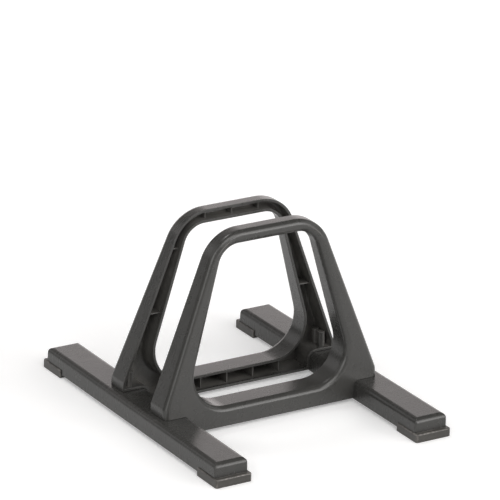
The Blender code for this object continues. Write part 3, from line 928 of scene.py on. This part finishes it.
shoe = {
    "length": 0.0383,
    "height": 0.0094,
    "sole": 0.0034,
    "side": 0.0015,
    "end": 0.0057,
    "corner": 0.0027,
    "leastCorner": 0.0002,
    "lipRound": 0.0014,
    "soleEdge": 0.0006,
    "plugHeight": 0.0085,
    "plugLength": 0.024,
    "plugWall": 0.0022,
    "plugCorner": 0.0007,
    "plugSink": 0.75,
    "padRadius": 0.007,
    "padHeight": 0.0044,
    "screwReach": 0.009,
    "screwSpace": 0.011,
    "holeRadius": 0.0022,
    "headRadius": 0.0044,
    "gripPitch": 0.0037,
    "gripSteps": (-4, -3, 3, 4),
    "gripWidth": 0.0014,
    "gripNarrowing": 0.6,
    "gripDepth": 0.0006,
    "gripFromSide": 0.004,
    "steps": 7,
    "edgeSteps": 3,
}
washer = {"diameter": 0.0092, "thickness": 0.0008, "edge": 0.00018, "sides": 40}
shoeInnerEnd = railEnd + shoe["end"] - shoe["length"]
shoeScrewY = shoeInnerEnd + shoe["length"] / 2
padTop = shoe["sole"] + shoe["padHeight"]
railCeiling = railTop - rail["wall"]

shoeHoles = [(0, -shoeScrewY), (0, shoeScrewY)]
seatHoles = [(x - railX, side * y) for side in (-1, 1) for x, y in bossPlaces]
ribGap = (-bossPlaces[0][1] - washer["diameter"], -bossPlaces[1][1] + washer["diameter"])
railBossRadius = shoe["holeRadius"] + boss["wall"]
cutPast = 0.002  # a hole starts this far before the face it goes through
railMesh = joinAndCut("rail", railForm(0.0, "railBody", rail["footEdge"]), [
    ("DIFFERENCE", railForm(-rail["wall"], "railHollow")),
    ("UNION", railRibs(*ribGap, shoeInnerEnd - rail["wall"])),
    ("UNION", uprightPosts(shoeHoles, railBossRadius, padTop + gap, railCeiling + rail["wall"] / 2)),
    ("DIFFERENCE", uprightPosts(
        shoeHoles, shoe["holeRadius"], padTop - cutPast, padTop + gap + shoe["screwSpace"]
    )),
    ("DIFFERENCE", uprightPosts(seatHoles, boss["holeRadius"], railCeiling - rail["wall"], seatZ)),
])
finishMesh(railMesh)
rightRail = movedCopy(railMesh, (railX, 0, 0))
leftRail = movedCopy(rightRail, turn=math.pi)
placePiece("right_rail", rightRail, railPlastic, "charcoal_plastic", "right_base_rail")
placePiece("left_rail", leftRail, railPlastic, "charcoal_plastic", "left_base_rail")
print("stage 4: rails made,", len(railMesh.polygons), "faces each")


# the shoes

def shoeBlock():
    halfX = railHalfWidth + shoe["side"]
    lowY, highY = shoeInnerEnd, railEnd + shoe["end"]
    edge, lip = shoe["soleEdge"], shoe["lipRound"]
    rows = [(edge * left, edge * done) for left, done in quarterTurn(shoe["edgeSteps"])]
    rows += [(lip * done, shoe["height"] - lip * left) for left, done in quarterTurn(shoe["steps"])]
    sections = []
    for inward, z in rows:
        lowCorner = max(shoe["side"] / 2 - inward, shoe["leastCorner"])
        highCorner = shoe["corner"] - inward
        sections.append(roundedRectangle(
            halfX - inward, lowY + inward, highY - inward, lowCorner, highCorner, z, shoe["steps"]
        ))
    bm = bmesh.new()
    loftLoops(bm, sections)
    return asMesh(bm, "shoeBlock")


def shoePlug(shrink):
    # the plug that reaches up into the rail, or the hollow inside it when it is shrunk
    low = shoe["sole"] * shoe["plugSink"] + shrink / 2
    high = shoe["sole"] + shoe["plugHeight"] + shrink
    farY = railEnd - rail["draft"] - rail["wall"] - gap - shrink
    nearY = farY - shoe["plugLength"] + 2 * shrink
    halfX = railSideX(shoe["sole"] + shoe["plugHeight"]) - rail["wall"] - gap - shrink
    corner = shoe["plugCorner"]
    bm = bmesh.new()
    loftLoops(bm, [
        roundedRectangle(halfX, nearY, farY, corner, corner, z, shoe["edgeSteps"]) for z in (low, high)
    ])
    return asMesh(bm, "shoePlug")


def shoeGrip():
    # shallow grip grooves across the sole
    bm = bmesh.new()
    halfX = railHalfWidth + shoe["side"] - shoe["gripFromSide"]
    half, deep, below = shoe["gripWidth"] / 2, shoe["gripDepth"], -0.0004  # cut from just under the sole
    narrow = half * shoe["gripNarrowing"]
    for step in shoe["gripSteps"]:
        y = shoeScrewY + step * shoe["gripPitch"]
        section = [(y - half, below), (y + half, below), (y + narrow, deep), (y - narrow, deep)]
        loftLoops(bm, [[(x, *point) for point in section] for x in (-halfX, halfX)])
    return asMesh(bm, "shoeGrip")


seatDrop = padTop - shoe["sole"]
screwSpot = [(0, shoeScrewY)]
shoeMesh = joinAndCut("shoe", shoeBlock(), [
    ("DIFFERENCE", railForm(gap, "railSpace")),
    ("UNION", shoePlug(0.0)),
    ("DIFFERENCE", shoePlug(shoe["plugWall"])),
    ("UNION", uprightPosts(screwSpot, shoe["padRadius"], shoe["sole"] / 2, padTop)),
    ("DIFFERENCE", uprightPosts(screwSpot, shoe["headRadius"], -seatDrop, seatDrop)),
    ("DIFFERENCE", uprightPosts(screwSpot, shoe["holeRadius"], 0.0, padTop + seatDrop)),
    ("DIFFERENCE", shoeGrip()),
])
finishMesh(shoeMesh)
for side, sideName in ((-1, "left"), (1, "right")):
    for end, endName in ((-1, "front"), (1, "back")):
        copy = movedCopy(shoeMesh, (side * railX, 0, 0), 0 if end > 0 else math.pi)
        place = f"{sideName}_{endName}"
        placePiece(place + "_shoe", copy, shoePlastic, "black_rubber", place + "_foot")
print("stage 5: shoes made,", len(shoeMesh.polygons), "faces each")


# the screws and washers

screw = {
    "headHeight": 0.0026,
    "recessDepth": 0.0014,
    "recessWidth": 0.0008,
    "recessReach": 0.0021,
    "recessTurn": 0.4,
    "recessTaper": 0.35,
    "coreShare": 0.74,
    "pitch": 0.0013,
    "threadStart": 0.0012,
    "crestWidth": 0.24,
    "rowsPerTurn": 8,
    "sides": 20,
}
seatScrewShape = {"diameter": 0.0042, "headDiameter": 0.008, "tip": 0.0028, "reach": 0.0165}
shoeScrewShape = {"diameter": 0.0038, "headDiameter": 0.0076, "tip": 0.0024, "reach": shoe["screwReach"]}


def headProfile(shank, head, tall):
    # from the domed head's middle, over its rim and flat seat, to the shank, in shares of their sizes
    profile = [(0, -tall)]
    for share in np.linspace(0.0, 1.0, 9)[1:]:
        turn = share * math.pi / 2
        profile.append((head * math.sin(turn) ** 0.8, -tall + (tall * 0.65) * (1 - math.cos(turn))))
    rim = [(head, -tall * 0.12), (head * 0.985, -tall * 0.03), (head * 0.95, 0)]
    return profile + rim + [(shank * 1.02, 0), (shank, 0.0004)]


def threadRadius(z, share, shank, length, tip):
    # share is how far round the screw the point lies
    start, end, pitch = screw["threadStart"], length - tip, screw["pitch"]
    core = shank * screw["coreShare"]
    taper = 1.0 if z < end else max(0.1, 1 - (z - end) / tip)
    phase = ((z / pitch) - share) % 1.0
    crest = max(0.0, 1 - abs(phase - 0.5) / screw["crestWidth"])
    fade = min(1.0, (z - start) / pitch)
    return (core + (shank - core) * crest * fade) * taper


def recessSlot(turn, tall, name):
    wide, reach, deep = screw["recessWidth"] / 2, screw["recessReach"], screw["recessDepth"]
    around = Matrix.Rotation(turn + screw["recessTurn"], 4, "Z")
    rows = []
    for z, share in ((-tall - 0.0003, 1.0), (-tall + deep, screw["recessTaper"])):
        long = reach * share
        corners = ((-long, -wide), (long, -wide), (long, wide), (-long, wide))
        rows.append([around @ Vector((*corner, z)) for corner in corners])
    bm = bmesh.new()
    loftLoops(bm, rows)
    return asMesh(bm, name + "Recess")


def screwMesh(name, look, length):
    shank, head, tall = look["diameter"] / 2, look["headDiameter"] / 2, screw["headHeight"]
    sides, start = screw["sides"], screw["threadStart"]
    bm = bmesh.new()
    last = lathe(bm, headProfile(shank, head, tall), sides)[-1]
    count = max(4, int((length - start) / screw["pitch"] * screw["rowsPerTurn"]))
    for n in range(count + 1):
        z = start + (length - 0.0002 - start) * n / count
        ring = []
        for k, turn in enumerate(circleTurns(sides)):
            radius = threadRadius(z, k / sides, shank, length, look["tip"])
            ring.append((radius * math.cos(turn), radius * math.sin(turn), z))
        fresh = addLoop(bm, ring)
        bridge(bm, last, fresh)
        last = fresh
    fan(bm, last, bm.verts.new((0, 0, length)))
    slots = [recessSlot(turn, tall, name) for turn in (0, math.pi / 2)]
    made = joinAndCut(name, asMesh(bm, name), [("DIFFERENCE", slot) for slot in slots])
    finishMesh(made, 38, sheltered=False)
    return made


def washerMesh():
    inner, outer = boss["holeRadius"], washer["diameter"] / 2
    thick, edge = washer["thickness"], washer["edge"]
    section = [(inner, edge), (inner + edge, 0), (outer - edge, 0), (outer, edge)]
    section += [(outer, thick - edge), (outer - edge, thick), (inner + edge, thick), (inner, thick - edge)]
    bm = bmesh.new()
    rings = lathe(bm, section, washer["sides"])
    bridge(bm, rings[-1], rings[0])
    made = asMesh(bm, "washer")
    finishMesh(made, 50, sheltered=False)
    return made


washerZ = railCeiling - gap - washer["thickness"]
headSeat = washerZ - gap
shoeHeadZ = shoe["padHeight"] - gap
seatScrew = screwMesh("seatScrew", seatScrewShape, seatZ + seatScrewShape["reach"] - headSeat)
shoeScrew = screwMesh("shoeScrew", shoeScrewShape, shoe["sole"] + 2 * gap + shoeScrewShape["reach"])
seatWasher = washerMesh()
for end, endName in ((-1, "front"), (1, "back")):
    for side, sideName in ((-1, "left"), (1, "right")):
        for number, (x, y) in enumerate(bossPlaces, start=1):
            for kind, base, z in (("screw", seatScrew, headSeat), ("washer", seatWasher, washerZ)):
                copy = movedCopy(base, (side * x, -end * y, z), 0.7 * number + side + 0.5 * end)
                name, node = (f"{endName}_{sideName}_{part}_{kind}_{number}" for part in ("seat", "frame"))
                placePiece(name, copy, zincSteel, "zinc_steel", node)
        copy = movedCopy(shoeScrew, (side * railX, end * shoeScrewY, shoeHeadZ), 1.1 * side + end)
        place = f"{sideName}_{endName}"
        placePiece(place + "_shoe_screw", copy, zincSteel, "zinc_steel", place + "_foot_screw")
print("stage 6: screws and washers made")


# studio: pale floor, soft light, camera

floorLook = {"color": (0.88, 0.88, 0.88, 1), "lift": 0.28, "halfSize": 60, "level": -0.0002}


def seenRays(tree, *kinds):
    # 1 for the rays named, 0 for all others
    path = addNode(tree, "LightPath").outputs
    seen = path[kinds[-1]]
    for kind in kinds[-2::-1]:
        seen = addMath(tree, "MAXIMUM", path[kind], seen)
    return seen


def makeFloor():
    material = bpy.data.materials.new("paleFloor")
    material.use_nodes = True
    tree = material.node_tree
    tree.nodes.clear()
    diffuse = addNode(tree, "BsdfDiffuse", {"Color": floorLook["color"]})
    glow = addNode(tree, "Emission", {"Strength": floorLook["lift"]})
    added = addNode(tree, "AddShader", {0: diffuse.outputs[0], 1: glow.outputs[0]})
    seen = seenRays(tree, "Is Camera Ray", "Is Glossy Ray", "Is Transmission Ray")
    lifted = mixShaders(tree, seen, diffuse, added)
    below = addNode(tree, "BsdfTransparent")  # so that the stand's underside can be seen from below
    backfacing = addNode(tree, "NewGeometry").outputs["Backfacing"]
    both = mixShaders(tree, backfacing, lifted, below)
    addNode(tree, "OutputMaterial", {"Surface": both.outputs[0]})
    half, level = floorLook["halfSize"], floorLook["level"]
    corners = [(x * half, y * half, level) for x, y in ((-1, -1), (1, -1), (1, 1), (-1, 1))]
    mesh = bpy.data.meshes.new("floor")
    mesh.from_pydata(corners, [], [(0, 1, 2, 3)])
    mesh.materials.append(material)
    floor = newObject("floor", mesh)


studioLight = {
    "ambient": (0.12, 0.12, 0.12, 1),
    "sweep": (1.95, 1.82, 1.81, 1),
    "sweepTowards": 70,  # degrees
    "sweepTurn": (0.62, 1),  # where it fades in, as the cosine of the angle from its middle
    "sweepHeight": (0.28, 0.66),  # where it fades out, as the sine of the height
}


def makeWorld():
    # dim surroundings, with a lit sweep of paper low behind the stand
    world = bpy.data.worlds.new("studio")
    bpy.context.scene.world = world
    world.use_nodes = True
    tree = world.node_tree
    tree.nodes.clear()
    direction = addNode(tree, "TexCoord").outputs["Generated"]
    parts = addNode(tree, "SeparateXYZ", {"Vector": direction})
    angle = math.radians(studioLight["sweepTowards"])
    towards = (math.cos(angle), math.sin(angle), 0.0)
    dot = addNode(tree, "VectorMath", {0: direction, 1: towards}, operation="DOT_PRODUCT")
    turn = addRange(tree, dot.outputs["Value"], *studioLight["sweepTurn"])
    height = addRange(tree, parts.outputs["Z"], *studioLight["sweepHeight"], 1.0, 0.0)
    color = mixColors(tree, times(tree, turn, height), studioLight["ambient"], studioLight["sweep"])
    light = addNode(tree, "Background", {"Color": color})
    white = addNode(tree, "Background", {"Color": (1, 1, 1, 1)})
    # white to the eye and through glass, while gloss keeps the studio
    seen = seenRays(tree, "Is Camera Ray", "Is Transmission Ray")
    addNode(tree, "OutputWorld", {"Surface": mixShaders(tree, seen, light, white).outputs[0]})


farSoftBoxes = {
    # turn and rise of each light's direction in degrees, how wide it looks from the stand, strength, colour
    "sideWindow": (301, 24, 38, 1.28, (1.0, 0.985, 0.975)),
    "lowWindow": (303, 9, 22, 0.32, (1.0, 0.985, 0.975)),
    "frontFill": (267, 47, 34, 1.0, (1.0, 0.99, 0.98)),
    "frontPanel": (222, 24, 34, 0.8, (1.0, 0.99, 0.98)),
    "leftPanel": (126, 23, 24, 0.11, (1.0, 0.98, 0.98)),
    "rightPanel": (352, 24, 36, 0.28, (1.0, 0.99, 0.98)),
    "backPanel": (166, 38, 36, 0.28, (1.0, 0.99, 0.98)),
    "cornerSpot": (104, 64, 13, 0.42, (1.0, 0.99, 0.98)),
}


def addFarSoftBox(name, turn, rise, width, strength, color):
    lamp = bpy.data.lights.new(name, "SUN")
    lamp.angle = math.radians(width)
    lamp.energy = strength
    lamp.color = color
    turn, rise = math.radians(turn), math.radians(rise)
    towards = Vector((math.cos(turn) * math.cos(rise), math.sin(turn) * math.cos(rise), math.sin(rise)))
    box = newObject(name, lamp)
    box.location = towards * 2.5  # only its direction counts
    box.rotation_mode = "QUATERNION"
    box.rotation_quaternion = towards.to_track_quat("Z", "Y")


cameraPlace = {
    "azimuth": -31.92,
    "elevation": 20.95,
    "roll": 1.56,
    "lens": 288,
    "sensor": 36,
    "clip": (0.1, 200),
    "distance": 4.24235,
    "aside": 0.0072,
    "up": 0.15966,
}


def addCamera():
    a, e, r = (math.radians(cameraPlace[key]) for key in ("azimuth", "elevation", "roll"))
    back = Vector((math.sin(a) * math.cos(e), -math.cos(a) * math.cos(e), math.sin(e)))
    level = Vector((math.cos(a), math.sin(a), 0))
    up = back.cross(level)
    right = level * math.cos(r) + up * math.sin(r)
    top = -level * math.sin(r) + up * math.cos(r)
    place = right * cameraPlace["aside"] + top * cameraPlace["up"] + back * cameraPlace["distance"]
    lens = bpy.data.cameras.new("camera")
    lens.lens = cameraPlace["lens"]
    lens.sensor_width = cameraPlace["sensor"]
    lens.clip_start, lens.clip_end = cameraPlace["clip"]
    camera = newObject("camera", lens)
    camera.matrix_world = Matrix(((*right, 0), (*top, 0), (*back, 0), (*place, 1))).transposed()
    bpy.context.scene.camera = camera


makeFloor()
makeWorld()
for name, look in farSoftBoxes.items():
    addFarSoftBox(name, *look)
addCamera()
bpy.context.scene.view_settings.view_transform = "Standard"
print("stage 7: studio and camera made")
